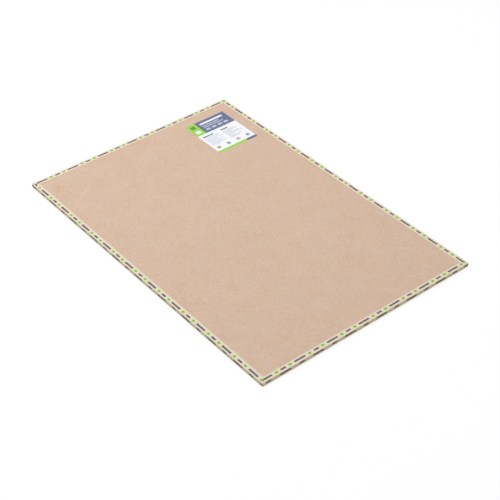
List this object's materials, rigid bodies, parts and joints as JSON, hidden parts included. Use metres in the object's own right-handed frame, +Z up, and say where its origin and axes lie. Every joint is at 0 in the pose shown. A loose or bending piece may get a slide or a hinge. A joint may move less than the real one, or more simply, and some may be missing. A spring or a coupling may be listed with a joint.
{
  "type": "soundproofing panel",
  "caption": "Flat rectangular sound-insulation board with kraft paper faces, edges bound in folded printed tape with mitred corners, and a paper label on one face.",
  "frame": {"origin": "under the middle of the panel, in the plane it lies on", "axes": "+X along the 1200 mm side, +Y along the 800 mm side, +Z up through the thickness, out of the labelled face"},
  "size_m": [1.2002, 0.8002, 0.0132],
  "materials": {
    "kraft_board": "matt brown kraft liner, faint flute lines along the length",
    "edge_tape": "satin cream tape, printed with dark hatched bars and green lozenges",
    "label_paper": "smooth white paper, printed with plain slate and green blocks"
  },
  "bodies": {
    "root": {"board": "kraft_board", "tape_front": "edge_tape", "tape_right": "edge_tape", "tape_back": "edge_tape", "tape_left": "edge_tape", "label": "label_paper"}
  },
  "joints": []
}
